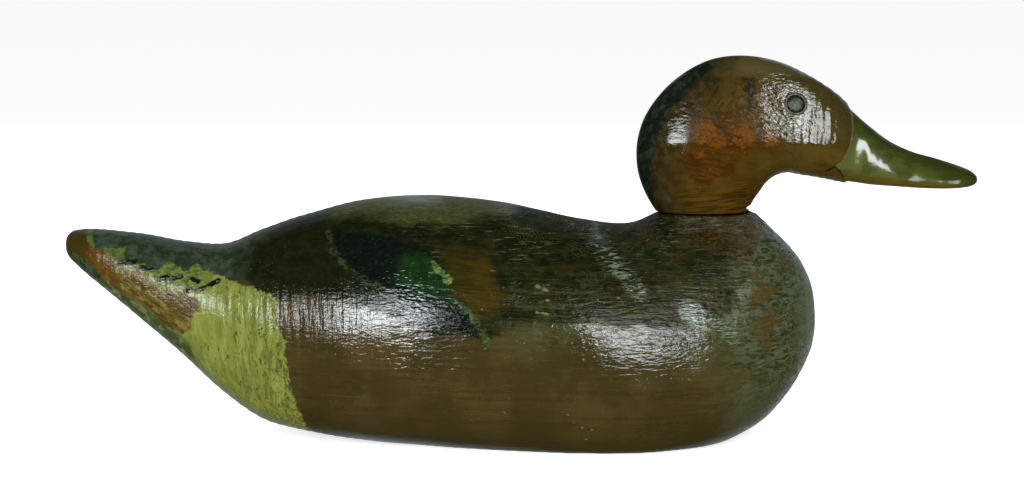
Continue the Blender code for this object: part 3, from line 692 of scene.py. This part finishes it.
    dull = k.most(
        k.times(upper, k.ramp(k.x, -36, -60), 0.6), k.times(seam, k.ramp(k.x, 44, 46)), shoulder,
        k.times(bare, 0.4), k.times(buff_edge, 0.4), k.times(k.ramp(ragged, -46, -66), 0.55),
        k.times(k.ramp(ragged, 22, 44), k.ramp(ragged, 100, 84), 0.25),
        k.times(k.ramp(ragged, -30, -12), k.ramp(ragged, 26, 4), k.ramp(k.z, 32, 41), 0.75),
        k.times(k.ramp(k.x, 20, 60), k.ramp(coarse, 0.5, 0.42), 0.55), k.times(rubbed, 0.4))
    k.dulled(dull)
    return k.done(height)


def head_paint():
    """Worn chestnut over brown, with a black crown stripe and an olive bill, under varnish."""
    k = Look("head_paint", roughness=0.6, coat=1.0, coat_roughness=0.065)
    grain = k.noise((9, 7, 1.6), 4, 0.62, 31, turn=14)
    blotch = k.noise(13, 3, 0.55, 32)
    mottle = k.noise(3.6, 4, 0.65, 33)
    fine = k.noise(1.4, 3, 0.6, 34)
    scribble = k.noise((2.8, 2.6, 1.3), 5, 0.72, 83, turn=10, distortion=1.4)

    face = k.mix(k.ramp(blotch, 0.38, 0.62), "#43310c", "#503d14")
    face = k.mix((k.ramp(grain, 0.5, 0.66), 0.4), face, "#2e220a")
    face = k.mix((k.ramp(k.x, 96, 104), k.ramp(k.z, 112, 122), 0.6), face, "#403c1c")
    chestnut = k.within("chestnut", 3.0, 6, 1.8, 35)
    red = k.mix(k.ramp(grain, 0.4, 0.62), "#352005", "#52310a")
    red = k.mix((k.ramp(scribble, 0.54, 0.64), 0.6), red, "#2a1f08")
    k.colour = k.mix((chestnut, 0.85), face, red)
    embers = k.times(k.within("embers", 1.3, 3.0, 0.6, 36), k.ramp(scribble, 0.6, 0.5))
    k.paint((embers, 0.7), "#6e3d0b")
    sparks = k.times(k.ramp(k.noise((2.6, 3, 1.6), 2, 0.5, 84), 0.68, 0.72), chestnut)
    k.paint((sparks, 0.7), "#86480f")
    lower = k.times(k.ramp(k.shifted(k.z, blotch, 8), 108, 99), k.ramp(k.x, 56, 64))
    comb = k.noise((16, 6, 0.75), 3, 0.6, 37, turn=-4)
    k.paint((lower, 0.8), k.mix(k.ramp(comb, 0.42, 0.6), "#2e1f07", "#55390b"))
    stroke = k.noise((1.0, 3, 7), 4, 0.65, 38, turn=35, distortion=1.0)
    marks = k.times(k.ramp(stroke, 0.52, 0.58), k.ramp(k.z, 124, 132), k.ramp(k.x, 90, 80),
                    k.ramp(k.x, 60, 68), k.ramp(k.z, 146, 140))
    block = k.within("dark_patch", 1.5, 3, 0.8, 85)
    k.paint((k.most(marks, block), 0.75), "#1b1d0f")
    stains = k.times(k.ramp(scribble, 0.56, 0.66), k.ramp(k.z, 110, 124))
    k.paint((stains, 0.45), "#26240f")
    # Painted sheen: the top of the head is made lighter, as lit from above.
    crown = k.ramp(k.shifted(k.z, blotch, 8), 145, 149)
    k.paint((crown, 0.85), "#51482a")

    edge = k.within("stripe", 2.6, 6, 6.0, 40, inset=-9)
    k.paint((edge, 0.85), k.mix(k.ramp(mottle, 0.42, 0.6), "#221f0e", "#3a3118"))
    stripe = k.within("stripe", 1.8, 5, 1.2, 39)
    k.paint(stripe, k.mix(k.ramp(mottle, 0.45, 0.65), "#161a10", "#2a312a"))

    bill = k.within("bill", 0.08, 3, 0.12, 41)
    horn = k.mix(k.ramp(k.noise((10, 6, 4), 3, 0.5, 42), 0.36, 0.64), "#3f4418", "#525724")
    horn = k.mix((k.ramp(k.x, 137, 130), 0.45), horn, "#5c6434")
    ridge = k.math("MULTIPLY_ADD", k.x, 0.5, k.z)
    horn = k.mix((k.ramp(k.shifted(ridge, mottle, 6), 183, 192), 0.8), horn,
                 "#2f350f")
    lower_bill = k.within("lower_bill", 0.6, 5, 0.7, 43, stretch=3)
    horn = k.mix((lower_bill, 0.8), horn, "#52430f")
    horn = k.mix((k.ramp(k.noise((3, 3, 7), 3, 0.6, 86), 0.58, 0.68), 0.5), horn, "#343712")
    k.paint(bill, horn)
    # Painted highlight: a light line along the ridge at the face's edge by the bill.
    rim = k.times(k.within("face_edge", 0.1, 2, 0.12, 44),
                  k.ramp(k.noise(4, 2, 0.5, 45), 0.3, 0.4))
    k.paint((rim, 0.5), "#7c7e58")
    gape = k.within("mouth", 0.1, 2, 0.12, 46)
    k.paint(gape, "#0e0d06")

    face_front = k.ramp(k.x, 92, 106)
    facets = k.noise((2.6, 4, 14), 1, 0.4, 47, turn=-6)
    ripples = k.noise((3.4, 3.2, 1.5), 3, 0.55, 48, turn=8, distortion=0.8)
    broken = k.noise(1.4, 2, 0.6, 49)
    crinkle = k.ramp(k.cells((2.6, 3, 1.7), 88, edges=True, turn=20), 0.0, 0.16)
    low_face = k.ramp(k.z, 114, 120, 0.25, 1.0)
    cheek = k.times(k.ramp(k.x, 74, 90, 0.5, 1.0), k.ramp(k.x, 104, 112, 1.0, 0.45))
    rough = k.sum(
        (k.times(facets, face_front), 0.30), (k.times(ripples, cheek, low_face), 0.40),
        (k.times(broken, face_front, low_face), 0.12),
        (k.times(crinkle, face_front, k.ramp(k.x, 104, 112, 1.0, 0.3), low_face), 0.08),
        (k.times(comb, lower), 0.10), (sparks, -0.05), (stripe, 0.05),
        (k.times(scribble, chestnut), 0.12))
    smooth = k.sum((k.noise((7, 6, 3), 2, 0.5, 50), 0.10), (fine, 0.010))
    behind_eye = k.ramp(k.shifted(k.x, ripples, 10), 102, 96)
    dull = k.most(
        k.times(k.ramp(k.x, 61, 66), behind_eye, 0.88), k.times(k.ramp(k.z, 108, 103), 0.6),
        k.times(k.ramp(k.x, 66, 62), 0.4), k.times(k.ramp(k.x, 60, 56), 0.8),
        k.times(k.ramp(k.x, 108, 115), k.ramp(k.x, 128, 124), 0.35))
    k.dulled(dull)
    k.feed(k.shader.inputs["Coat Roughness"], k.math("MULTIPLY_ADD", bill, 0.10, 0.06))
    height = k.sum(
        (k.without(rough, bill), 1.0), (k.times(smooth, bill), 1.0), (rim, 0.08))
    return k.done(height)


def board_wood():
    """Softwood gone grey-brown, with the last of its brown paint and a stained rim."""
    k = Look("board_wood", roughness=0.6, coat=0.25, coat_roughness=0.35)
    grain = k.noise((90, 2.2, 30), 5, 0.6, 51, distortion=0.7)
    pores = k.noise((18, 0.5, 10), 3, 0.6, 52)
    wood = k.mix(k.ramp(grain, 0.38, 0.62), "#4b3c20", "#73603d")
    wood = k.mix((k.ramp(pores, 0.52, 0.66), 0.7), wood, "#332914")
    paint = k.ramp(k.noise((26, 14, 14), 5, 0.7, 53), 0.46, 0.53)
    k.colour = k.mix((paint, 0.85), wood, k.mix(k.ramp(grain, 0.4, 0.6), "#332a10", "#40371a"))
    stain = k.ramp(k.noise(9, 3, 0.6, 54), 0.58, 0.68)
    k.paint((stain, 0.5), "#1f180a")
    return k.done(k.sum((grain, 0.3), (pores, -0.12), (paint, 0.08)))


def old_lead():
    k = Look("old_lead", roughness=0.55, metallic=0.85)
    cloud = k.noise(9, 4, 0.6, 55)
    k.colour = k.mix(k.ramp(cloud, 0.36, 0.64), "#4c5052", "#84888a")
    k.paint((k.ramp(k.noise(3, 4, 0.7, 56), 0.56, 0.66), 0.7), "#a9a79a")
    dents = k.cells(5.5, 57)
    return k.done(k.sum((cloud, 0.4), (dents, 0.25), (k.noise(0.9, 2, 0.5, 58), 0.08)))


def rusty_iron():
    k = Look("rusty_iron", roughness=0.62, metallic=0.55)
    rust = k.noise(1.8, 5, 0.7, 59)
    k.colour = k.mix(k.ramp(rust, 0.4, 0.6), "#3d3833", "#6b3c1c")
    k.paint((k.ramp(k.noise(0.7, 3, 0.6, 60), 0.56, 0.68), 0.8), "#92592b")
    return k.done(k.sum((rust, 0.16), (k.noise(0.35, 2, 0.5, 61), 0.05)))


def hardwood():
    k = Look("hardwood", roughness=0.55)
    grain = k.noise((1.1, 1.1, 24), 4, 0.6, 62)
    k.colour = k.mix(k.ramp(grain, 0.4, 0.62), "#8a6a3f", "#c09a66")
    return k.done(k.sum((grain, 0.12), (k.noise((0.3, 0.3, 5), 2, 0.5, 63), 0.04)))


def tarred_canvas():
    """Plain-woven cloth soaked in tar."""
    k = Look("tarred_canvas", roughness=0.8)
    across = k.math("SINE", k.math("MULTIPLY", k.x, 2 * math.pi / 0.9))
    along = k.math("SINE", k.math("MULTIPLY", k.y, 2 * math.pi / 0.9))
    weave = k.math("MULTIPLY", across, along)
    tar = k.noise(6, 4, 0.6, 64)
    k.colour = k.mix(k.ramp(tar, 0.4, 0.6), "#1a1712", "#3b3426")
    k.paint((k.ramp(weave, 0.2, 0.9), 0.5), "#4f472f")
    return k.done(k.sum((weave, 0.06), (tar, 0.15)))


def dull_glass():
    """An eye under old varnish: faint rings round a dark pupil."""
    k = Look("dull_glass", roughness=0.5, coat=0.5, coat_roughness=0.15)
    r = k.field("radius")
    haze = k.noise(1.3, 4, 0.65, 65)
    marks = k.noise((0.7, 2, 2.6), 2, 0.5, 92)
    k.colour = k.mix(k.ramp(haze, 0.4, 0.6), "#282c18", "#41462c")
    k.paint((k.ramp(r, 2.2, 1.0), k.ramp(marks, 0.46, 0.56)), "#15170c")
    k.paint((k.ramp(r, 2.0, 3.0), 0.85), "#201f0c")
    return k.done(k.sum((marks, 0.12), (haze, 0.35)))


def painted_putty():
    k = Look("painted_putty", roughness=0.6, coat=0.6, coat_roughness=0.12)
    tone = k.noise(1.6, 4, 0.6, 66)
    k.colour = k.mix(k.ramp(tone, 0.4, 0.6), "#2b2912", "#403a1d")
    k.paint((k.ramp(k.noise(0.8, 3, 0.6, 67), 0.56, 0.66), 0.5), "#2c2711")
    return k.done(k.sum((tone, 0.45), (k.noise(0.6, 2, 0.5, 68), 0.1)))


# The carved and painted pieces

BODY_STEP = 1.08
BODY_AROUND = 264
HEAD_STEP = 0.62
HEAD_AROUND = 216
EYE_RADIUS = 3.45
EYE_RIM = -0.9
EYE_BULGE = 1.15
PUTTY_RADIUS = 4.6
SOCKET_DEPTH = 4.4
PROUD = 4

# The hollow and the holes in the body, which the CAD's body has too.
LEDGE_Z = 11.2
BOARD_AT = (7, 0)
BOARD_HALF = (71, 31)
HOLLOW_AT = (-16, 0, 47)
HOLLOW_HALF = (66, 38, 32)
OPENING_AT = (-11, 0)
OPENING_HALF = (41, 20)
DOWEL_RADIUS = 7
DOWEL_ENDS = (52, 122)
NAILS = 10
NAIL_OVAL = (66.5, 26.5)
STAPLE_LEGS = (47, 53)
# Round holes as (radius, bottom, top).
NAIL_HOLE = (1.4, 0, 20.3)
STAPLE_HOLE = (1.3, 2, 24.3)
COUNTERBORE = (6, 4, 27.3)
SCREW_WAY = (2.7, 20, 60)


def build_hollow():
    """What is carved out of the body: an egg shape with an oval way down to the board."""
    around = np.linspace(0, 2 * math.pi, 96, endpoint=False)
    hollow = loft("hollow", [np.stack([
        np.full(96, HOLLOW_AT[0] - HOLLOW_HALF[0] * math.cos(a)),
        HOLLOW_HALF[1] * math.sin(a) * np.cos(around),
        HOLLOW_AT[2] + HOLLOW_HALF[2] * math.sin(a) * np.sin(around)], axis=1)
        for a in np.linspace(0, math.pi, 60)])
    opening = cylinder("opening", 1, LEDGE_Z - 4, 40, OPENING_AT, OPENING_HALF)
    return combined(hollow, [opening], "UNION")


def neck_bores():
    """The dowel's bore from above, and the screw's counterbore and way from below."""
    return [cylinder("bore", *hole, (NECK_X, 0)) for hole in (
        (DOWEL_RADIUS + GAP, DOWEL_ENDS[0] - GAP, 120), COUNTERBORE, SCREW_WAY)]


def build_body():
    body = loft("painted_body", [body_ring(row, BODY_AROUND) for row in spline(BODY, BODY_STEP)])
    points, normals = points_of(body), normals_of(body)
    x, z = points[:, 0], points[:, 2]
    swell = lumps(points, 24, 1) * 0.22 + lumps(points, 11, 2) * 0.10
    warp = lumps(points, 30, 3) * 2.2
    turning = np.sin((x + warp) * 2 * math.pi / 3.7) * 0.07 * smoothstep(x, -45, -60)
    knife = np.abs(np.sin((x + z * 0.1 + warp) * math.pi / 3.3)) * 0.13 * smoothstep(x, 62, 72)
    from_neck = np.hypot((x - 71.4) / 18.3, points[:, 1] / 14.2)
    collar = (smoothstep(z, 80, 86) * smoothstep(x, 55, 63) * (x < 100)
              * (0.45 + 0.75 * lumps(points, 3.4, 8) + 0.3 * lumps(points, 1.7, 9)))
    near_seat = smoothstep(np.hypot(x - NECK_X, points[:, 1]), 20, 34) + (z < 70)
    depth = (swell + turning + knife) * np.clip(near_seat, 0.25, 1)
    depth += np.clip(collar, 0, 1) * 1.5 * (from_neck > 0.9)
    points += normals * depth[:, None]
    points[:, 2] = np.maximum(points[:, 2], 0)
    seat = SEAT_Z - GAP / 2
    top = (x > 46) & (x < 96) & (np.abs(points[:, 1]) < 34)
    points[:, 2] = np.where(top, np.minimum(points[:, 2], seat), points[:, 2])
    set_points(body, points)

    combined(body, [cylinder("rebate", 1, -10, LEDGE_Z, BOARD_AT, [h + GAP for h in BOARD_HALF]),
                    build_hollow()] + neck_bores())
    for i in range(NAILS):
        turn = 2 * math.pi * (i + 0.5) / NAILS
        spot = (BOARD_AT[0] + NAIL_OVAL[0] * math.cos(turn), NAIL_OVAL[1] * math.sin(turn))
        combined(body, [cylinder("nail_hole", *NAIL_HOLE, spot)])
    for leg in STAPLE_LEGS:
        combined(body, [cylinder("staple_hole", *STAPLE_HOLE, (leg, 0))])

    points = points_of(body)
    x, z = points[:, 0], points[:, 2]
    for name, outline in (("tail", BARE_TAIL), ("buff", BUFF), ("speculum", SPECULUM),
                          ("green", GREEN), ("lime_patch", LIME_PATCH), ("upper", UPPER),
                          ("rubbed_wing", RUBBED_WING), ("rubbed_bright", RUBBED_BRIGHT),
                          ("olive", OLIVE_BACK_AND_SHEEN), ("neck_rub", NECK_RUB)):
        field(body, name, inside(x, z, outline))
    field(body, "chips", np.maximum(inside(x, z, TAIL_CHIP), inside(x, z, TIP_CHIP)))
    for name, half_width, paths in (("dabs", 0.95, DABS), ("rear_stripe", 0.8, [REAR_STRIPE]),
                                    ("low_stripe", 1.1, [LOW_STRIPE]), ("sheen", 3.0, SHEEN),
                                    ("flicks", 0.35, FLICKS)):
        field(body, name, strokes(x, z, half_width, paths))
    rows = spline(BODY, BODY_STEP)
    keel = np.interp(x, [row.x for row in rows], [row.bottom for row in rows])
    field(body, "belly", z - np.maximum(keel, 0))
    return finished(body, "body", body_paint(), "body_shell")


def eye_places(head):
    """Where each eye sits: local Z out of the head, with the origin on its surface."""
    points, normals = points_of(head), normals_of(head)
    places = {}
    for side, name in ((1, "left"), (-1, "right")):
        miss = np.hypot(points[:, 0] - EYE[0], points[:, 2] - EYE[1])
        nearest = int(np.argmin(np.where(points[:, 1] * side > 0, miss, 1e9)))
        turn = Vector(normals[nearest]).to_track_quat("Z", "Y").to_matrix().to_4x4()
        places[name] = Matrix.Translation(points[nearest]) @ turn
    return places


def build_head():
    rings = [head_ring(row, HEAD_AROUND) for row in spline(HEAD, HEAD_STEP)]
    rings[0][:, 2] += GAP / 2
    for ring in rings:
        ring[:, 1] *= 1 - 0.011 * np.clip(ring[:, 2] - 117, 0, 40)
    head = loft("painted_head", rings)
    eyes = eye_places(head)
    points, normals = points_of(head), normals_of(head)
    x, z = points[:, 0], points[:, 2]
    bill = inside(x, z, BILL)
    on_bill = smoothstep(bill, -0.4, 0.4)
    from_eye = np.hypot(x - EYE[0], z - EYE[1])
    front = smoothstep(x, 92, 108)
    carved = (lumps(points, 15, 5) * 0.26 + lumps(points, 7, 6) * (0.05 + 0.10 * front)
              + np.abs(np.sin((x - 0.1 * z + lumps(points, 12, 7) * 1.2) * math.pi / 3.3))
              * 0.19 * smoothstep(x, 99, 110))
    depth = carved * (1 - 0.85 * on_bill) * smoothstep(from_eye, 4.5, 9)
    depth += 0.28 * (1 - on_bill) * smoothstep(bill, -7, -0.5)
    depth -= 0.30 * on_bill * smoothstep(bill, 9, 0.5)
    depth -= 0.45 * smoothstep(path_distance(x, z, MOUTH), 0.8, 0.2)
    depth -= 1.3 * smoothstep(np.hypot(x - 90.2, (z - 89.6) * 1.4), 2.6, 0.4)
    depth *= smoothstep(z, SEAT_Z - 0.2, SEAT_Z + 1.2) * 0.85 + 0.15
    points += normals * depth[:, None]
    points[:, 2] = np.maximum(points[:, 2], SEAT_Z + GAP / 2)
    set_points(head, points)

    cutters = [cylinder("bore", DOWEL_RADIUS + GAP, SEAT_Z - 10, DOWEL_ENDS[1] + GAP, (NECK_X, 0))]
    for place in eyes.values():
        bed = PUTTY_RADIUS + 0.05
        socket = turned("socket", [(0, PROUD), (bed, PROUD), (bed, -SOCKET_DEPTH),
                                   (0, -SOCKET_DEPTH)])
        stem = turned("stem", [(0, -3), (1, -3), (1, -11), (0, -11)])
        for cutter in (socket, stem):
            cutter.data.transform(place)
            cutters.append(cutter)
    combined(head, cutters)

    points = points_of(head)
    x, z = points[:, 0], points[:, 2]
    for name, outline in (("stripe", STRIPE), ("chestnut", CHESTNUT), ("bill", BILL),
                          ("lower_bill", LOWER_BILL), ("dark_patch", DARK_PATCHES)):
        field(head, name, inside(x, z, outline))
    field(head, "embers", np.max([size - np.hypot(x - cx, z - cz) for cx, cz, size in EMBERS],
                                 axis=0))
    field(head, "face_edge", strokes(x, z, 0.3, [FACE_EDGE]))
    field(head, "mouth", strokes(x, z, 0.34, [MOUTH]))
    finished(head, "head", head_paint(), "head")
    for name, place in eyes.items():
        build_eye(name, place)


def build_eye(name, place):
    bed = turned(f"putty_ring_{name}", [
        (0, -2.9), (3.5, -2.9), (3.5, -0.55), (3.62, -0.30), (3.8, -0.20), (4.2, -0.24),
        (PUTTY_RADIUS, -0.42), (PUTTY_RADIUS, -4.1), (1.0, -4.1), (1.0, -3.2), (0, -3.2)], 64)
    dome = [(0, -2.5), (2.8, -2.5), (EYE_RADIUS, -2.0), (EYE_RADIUS, EYE_RIM)]
    dome += [(EYE_RADIUS * math.cos(a), EYE_RIM + EYE_BULGE * math.sin(a))
             for a in np.linspace(0.15, 1.42, 16)]
    eye = turned(f"glass_eye_{name}", dome + [(0, 0.25)], 64)
    for piece, look, slot, node in ((bed, painted_putty, "eye_putty", "eye_putty"),
                                    (eye, dull_glass, "eye_glass", "eye")):
        local = points_of(piece)
        field(piece, "radius", np.hypot(local[:, 0], local[:, 1]))
        piece.data.transform(place)
        finished(piece, "head", look(), f"{node}_{name}")


build_body()
build_head()

iron = rusty_iron()
looks = {"bottom_board": board_wood(), "bottom_seal": tarred_canvas(),
         "ballast_weight": old_lead(), "neck_dowel": hardwood()}
for name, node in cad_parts.items():
    node.data.materials.clear()
    node.data.materials.append(looks.get(name, iron))


# Camera, light and floor

AIM = Vector((-0.00395, 0.0, 0.07367))
DISTANCE = 1.2289
LIGHT_DISTANCE = 1.15
ELEVATION = math.radians(6.906)
LENS = 108.887
SKY = 0.30
GLINT_FRONT, GLINT_BEHIND = 0.018, 0.42
FLOOR_GLOW = 0.72


def light(name, azimuth, elevation, width, height, radiance, colour):
    """A soft box aimed at the decoy. Azimuth 0 is the camera's side, and 90 the bill's."""
    data = bpy.data.lights.new(name, "AREA")
    data.shape = "RECTANGLE"
    data.size, data.size_y = width, height
    data.energy = radiance * width * height * math.pi
    data.color = colour
    obj = link(name, data)
    a, e = math.radians(azimuth), math.radians(elevation)
    out = Vector((math.sin(a) * math.cos(e), -math.cos(a) * math.cos(e), math.sin(e)))
    obj.location = AIM + out * LIGHT_DISTANCE
    obj.rotation_mode = "QUATERNION"
    obj.rotation_quaternion = out.to_track_quat("Z", "Y")
    obj.visible_camera = False
    return obj


def set_stage():
    scene = bpy.context.scene
    camera = link("camera", bpy.data.cameras.new("camera"))
    out = Vector((0, -math.cos(ELEVATION), math.sin(ELEVATION)))
    camera.location = AIM + out * DISTANCE
    camera.rotation_mode = "QUATERNION"
    camera.rotation_quaternion = out.to_track_quat("Z", "Y")
    camera.data.lens = LENS
    camera.data.clip_start, camera.data.clip_end = 0.01, 100
    scene.camera = camera
    scene.view_settings.view_transform = "Standard"

    light("left_softbox", -32.2, 16.5, 0.45, 0.37, 17.5, (0.88, 0.96, 1.0))
    light("right_softbox", 26, 24, 0.42, 0.78, 12.4, (0.92, 0.98, 1.0))
    fill = light("back_fill", 180, 40, 0.90, 0.60, 2.8, (0.95, 0.98, 1.0))
    fill.visible_glossy = False

    world = bpy.data.worlds.new("studio")
    world.use_nodes = True
    scene.world = world
    nodes, links = world.node_tree.nodes, world.node_tree.links
    bright = nodes["Background"]
    bright.inputs["Color"].default_value = (1, 1, 1, 1)
    bright.inputs["Strength"].default_value = SKY
    where = nodes.new("ShaderNodeTexCoord")
    parts = nodes.new("ShaderNodeSeparateXYZ")
    links.new(where.outputs["Generated"], parts.inputs[0])
    behind = nodes.new("ShaderNodeMapRange")
    for socket, value in zip(behind.inputs[1:5], (0.6, 0.95, GLINT_FRONT, GLINT_BEHIND)):
        socket.default_value = value
    links.new(parts.outputs[1], behind.inputs[0])
    dim = nodes.new("ShaderNodeBackground")
    dim.inputs["Color"].default_value = (0.80, 0.95, 1, 1)
    links.new(behind.outputs[0], dim.inputs["Strength"])
    rays = nodes.new("ShaderNodeLightPath")
    blend = nodes.new("ShaderNodeMixShader")
    links.new(rays.outputs["Is Glossy Ray"], blend.inputs[0])
    links.new(bright.outputs[0], blend.inputs[1])
    links.new(dim.outputs[0], blend.inputs[2])
    links.new(blend.outputs[0], nodes["World Output"].inputs[0])

    mesh = bpy.data.meshes.new("floor")
    mesh.from_pydata([(-14, -8, -0.0003), (14, -8, -0.0003), (14, 20, -0.0003),
                      (-14, 20, -0.0003)], [], [(0, 1, 2, 3)])
    floor = link("floor", mesh)
    look = Look("floor", roughness=0.9, level=1.0)
    look.shader.inputs["Emission Color"].default_value = (1, 1, 1, 1)
    look.shader.inputs["Emission Strength"].default_value = FLOOR_GLOW
    tone = look.noise(900, 3, 0.5, 70)
    look.colour = look.mix(tone, "#e2e2e2", "#e6e6e6")
    mesh.materials.append(look.done(look.times(look.noise(2.0, 2, 0.5, 71), 0.02)))
    floor.visible_glossy = False


set_stage()
